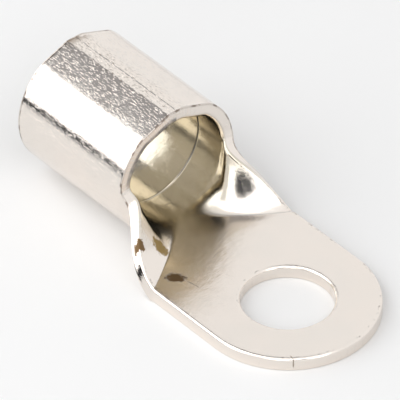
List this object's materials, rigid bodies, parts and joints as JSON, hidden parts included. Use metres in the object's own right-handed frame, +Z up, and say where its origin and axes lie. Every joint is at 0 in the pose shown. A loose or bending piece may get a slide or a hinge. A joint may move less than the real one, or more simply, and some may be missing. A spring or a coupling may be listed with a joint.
{
  "type": "ring terminal",
  "caption": "Ring terminal pressed from plated copper sheet, with a stud hole in its flat round-ended tongue and a rolled and brazed barrel for a stripped wire.",
  "frame": {"origin": "centre of the stud hole, on the underside of the tongue", "axes": "+X from the wire barrel to the tip of the tongue, +Y across the tongue, +Z up, out of the top of the tongue"},
  "size_m": [0.0376, 0.0172, 0.0133],
  "materials": {
    "plated_copper": "semi-gloss tin plating over copper"
  },
  "bodies": {
    "root": {"terminal_body": "plated_copper"}
  },
  "joints": []
}
